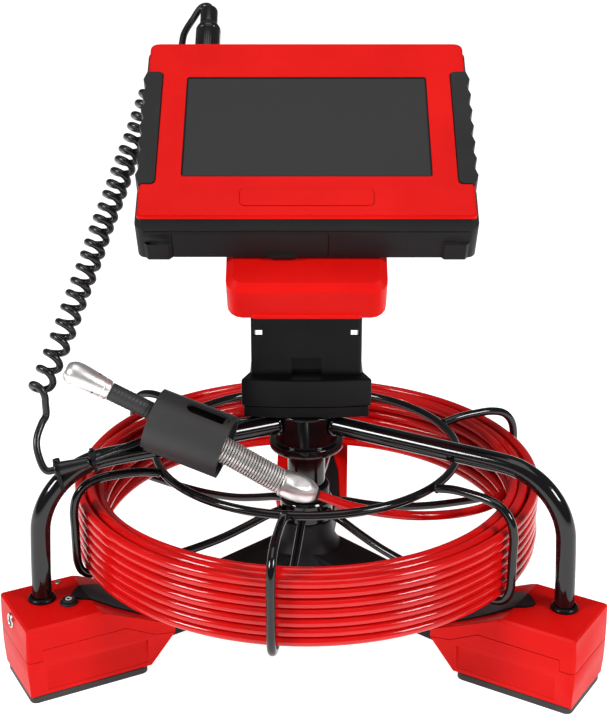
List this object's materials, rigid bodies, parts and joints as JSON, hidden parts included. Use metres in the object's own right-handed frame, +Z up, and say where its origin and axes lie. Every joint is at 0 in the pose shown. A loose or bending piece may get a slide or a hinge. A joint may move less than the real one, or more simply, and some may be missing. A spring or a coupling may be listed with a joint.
{
  "type": "pipe inspection camera",
  "caption": "Push-cable pipe inspection camera: wire basket reel on a three-legged base, tilting monitor on a swivel mast, bullet camera head in a side clip.",
  "frame": {"origin": "centre of the footprint box, on the surface that the rubber soles stand on; the reel's axis is 24.34 mm in front of it", "axes": "+Z up along the reel's axis; -Y is the front, the side that the screen faces; +X is to the right of someone reading the screen"},
  "size_m": [0.4012, 0.3853, 0.417],
  "materials": {
    "red_plastic": "fine satin moulded red",
    "red_cable": "smooth glossy red sheath",
    "black_enamel": "gloss black enamel on steel",
    "black_steel": "semi-gloss black powder coat",
    "black_plastic": "fine matt moulded black",
    "black_rubber": "matt rubber",
    "bright_steel": "polished stainless",
    "screen_glass": "dark screen, switched off",
    "lens_glass": "dark sapphire window",
    "circuit_board": "green solder mask",
    "battery_wrap": "blue shrink wrap"
  },
  "bodies": {
    "base": {"base_hub": "black_plastic", "leg_left": "black_plastic", "leg_right": "black_plastic", "leg_rear": "black_plastic", "column_tube": "black_enamel", "top_hub": "black_enamel", "left_frame_tube": "black_enamel", "right_frame_tube": "black_enamel", "left_tube_collar": "black_plastic", "right_tube_collar": "black_plastic", "left_foot_upper": "red_plastic", "left_foot_lower": "red_plastic", "left_foot_sole": "black_rubber", "right_foot_upper": "red_plastic", "right_foot_lower": "red_plastic", "right_foot_sole": "black_rubber", "rear_foot_upper": "red_plastic", "rear_foot_lower": "red_plastic", "rear_foot_sole": "black_rubber", "charge_socket": "bright_steel", "battery_pack": "battery_wrap", "control_board": "circuit_board", "slip_ring": "black_plastic", "signal_lead": "black_rubber", "cable_sleeve": "black_rubber", "cord_tail": "black_rubber", "camera_clip": "black_plastic", "push_cable_lead": "red_cable", "camera_head_shell": "bright_steel", "camera_lens_window": "lens_glass", "flex_neck": "black_rubber", "guide_spring": "bright_steel", "end_coupling": "bright_steel"},
    "reel": {"reel_hub": "black_enamel", "reel_ring": "black_enamel", "reel_hoop_1": "black_enamel", "reel_hoop_2": "black_enamel", "reel_hoop_3": "black_enamel", "reel_hoop_4": "black_enamel", "reel_hoop_5": "black_enamel", "reel_hoop_6": "black_enamel", "push_cable_coil": "red_cable"},
    "mast": {"swivel_block": "black_plastic", "block_jaw": "black_plastic", "mast_bracket": "black_steel", "tilt_pin": "bright_steel"},
    "monitor": {"front_bezel": "red_plastic", "screen_glass": "screen_glass", "lcd_panel": "black_plastic", "rear_shell": "black_plastic", "main_board": "circuit_board", "grip_left": "black_rubber", "grip_right": "black_rubber", "dock_plate": "red_plastic", "connector_plug": "black_plastic", "cord_top": "black_rubber", "curly_cord": "black_rubber"},
    "power_button": {"power_button": "black_plastic"},
    "coupling_nut": {"coupling_nut": "black_plastic"},
    "port_flap": {"port_flap": "black_plastic"}
  },
  "joints": [
    {"name": "reel_spin", "type": "hinge", "parent": "base", "child": "reel", "pos_m": [0, -0.02434, 0.075], "axis": [0, 0, 1], "continuous": true},
    {"name": "mast_swivel", "type": "hinge", "parent": "base", "child": "mast", "pos_m": [0, -0.02434, 0.1578], "axis": [0, 0, 1], "range_deg": [-45, 45], "deforming": ["curly_cord"]},
    {"name": "monitor_tilt", "type": "hinge", "parent": "mast", "child": "monitor", "pos_m": [-0.00005, -0.02292, 0.27347], "axis": [0.9994, 0.0349, 0], "range_deg": [-15, 25], "deforming": ["curly_cord"]},
    {"name": "power_button_press", "type": "slide", "parent": "base", "child": "power_button", "axis": [0, 0, -1], "range_m": [0, 0.0015], "stiffness_N_per_m": 400, "springref_m": -0.001},
    {"name": "port_flap_open", "type": "hinge", "parent": "monitor", "child": "port_flap", "pos_m": [0.00245, -0.09435, 0.30141], "axis": [-0.9994, -0.0349, 0], "range_deg": [0, 80]},
    {"name": "coupling_nut_turn", "type": "hinge", "parent": "monitor", "child": "coupling_nut", "pos_m": [-0.06958, 0.04841, 0.39367], "axis": [-0.0292, 0.8353, 0.549], "continuous": true}
  ]
}
